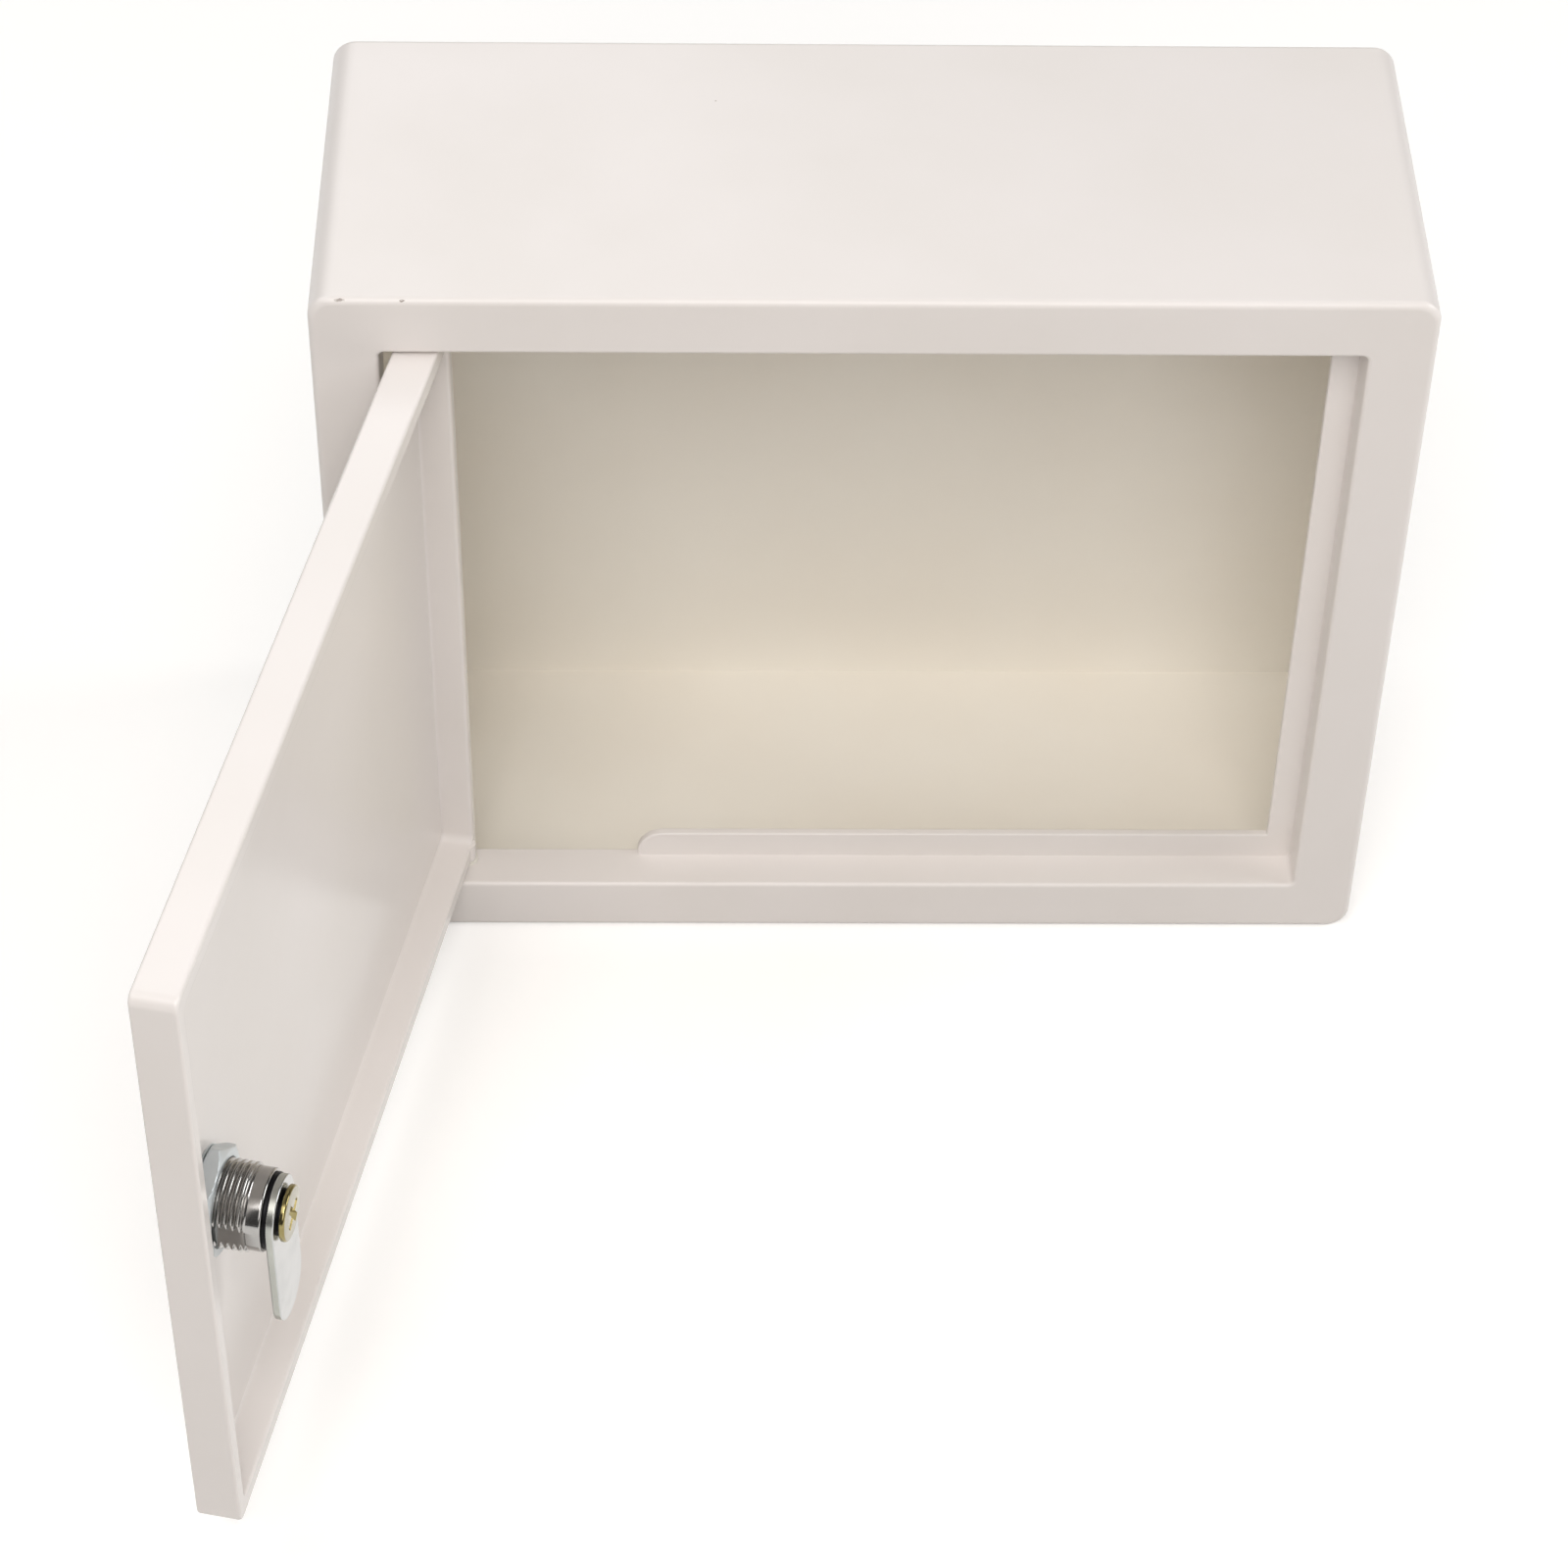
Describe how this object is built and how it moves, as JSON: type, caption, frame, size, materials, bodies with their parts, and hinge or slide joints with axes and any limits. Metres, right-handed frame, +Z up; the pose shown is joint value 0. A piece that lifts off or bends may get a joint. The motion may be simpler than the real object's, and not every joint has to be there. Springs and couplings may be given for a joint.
{
  "type": "lockable storage box",
  "caption": "Shallow lockable storage box with a side-hinged tray door standing open, a stop lip inside the front frame and a cam lock held by a hex nut.",
  "frame": {"origin": "middle of the casing's underside", "axes": "+X along the front from the hinge side to the lock side, +Y from the front to the back, +Z up"},
  "size_m": [0.2725, 0.2898, 0.2005],
  "materials": {
    "casing": "satin white, cream inside",
    "back_panel": "satin cream",
    "door": "satin white",
    "hinge_steel": "bright",
    "hinge_nylon": "natural",
    "lock_housing": "chrome plated zinc casting",
    "lock_washer": "zinc plated",
    "lock_nut": "blue zinc plated",
    "lock_plug": "plated",
    "wafer_brass": "bright",
    "spring_steel": "bright",
    "dark_steel": "blackened",
    "cam": "bright zinc plated",
    "cam_screw": "yellow plated"
  },
  "bodies": {
    "casing": {"casing": "casing", "back_panel": "back_panel", "hinge_pin_top": "hinge_steel", "hinge_pin_bottom": "hinge_steel", "hinge_washer_bottom": "hinge_nylon"},
    "door": {"door": "door", "hinge_washer_top": "hinge_nylon", "lock_housing": "lock_housing", "lock_washer": "lock_washer", "lock_nut": "lock_nut"},
    "lock_plug": {"lock_plug": "lock_plug", "wafer_springs": "spring_steel", "stop_washer": "dark_steel", "cam": "cam", "spring_washer": "dark_steel", "cam_screw": "cam_screw"},
    "wafer_1": {"wafer_1": "wafer_brass"},
    "wafer_2": {"wafer_2": "wafer_brass"},
    "wafer_3": {"wafer_3": "wafer_brass"},
    "wafer_4": {"wafer_4": "wafer_brass"},
    "wafer_5": {"wafer_5": "wafer_brass"}
  },
  "joints": [
    {"name": "door_hinge", "type": "hinge", "parent": "casing", "child": "door", "pos_m": [-0.0966, -0.0398, 0.10025], "axis": [0, 0, 1], "range_deg": [-11, 101.9]},
    {"name": "plug_turn", "type": "hinge", "parent": "door", "child": "lock_plug", "pos_m": [-0.14322, -0.21883, 0.10025], "axis": [-0.9785, 0.2062, 0], "range_deg": [0, 90]},
    {"name": "wafer_1_slide", "type": "slide", "parent": "lock_plug", "child": "wafer_1", "axis": [0, 0, 1], "range_m": [0, 0.0007]},
    {"name": "wafer_2_slide", "type": "slide", "parent": "lock_plug", "child": "wafer_2", "axis": [0, 0, 1], "range_m": [0, 0.0007]},
    {"name": "wafer_3_slide", "type": "slide", "parent": "lock_plug", "child": "wafer_3", "axis": [0, 0, 1], "range_m": [0, 0.0007]},
    {"name": "wafer_4_slide", "type": "slide", "parent": "lock_plug", "child": "wafer_4", "axis": [0, 0, 1], "range_m": [0, 0.0007]},
    {"name": "wafer_5_slide", "type": "slide", "parent": "lock_plug", "child": "wafer_5", "axis": [0, 0, 1], "range_m": [0, 0.0007]}
  ]
}
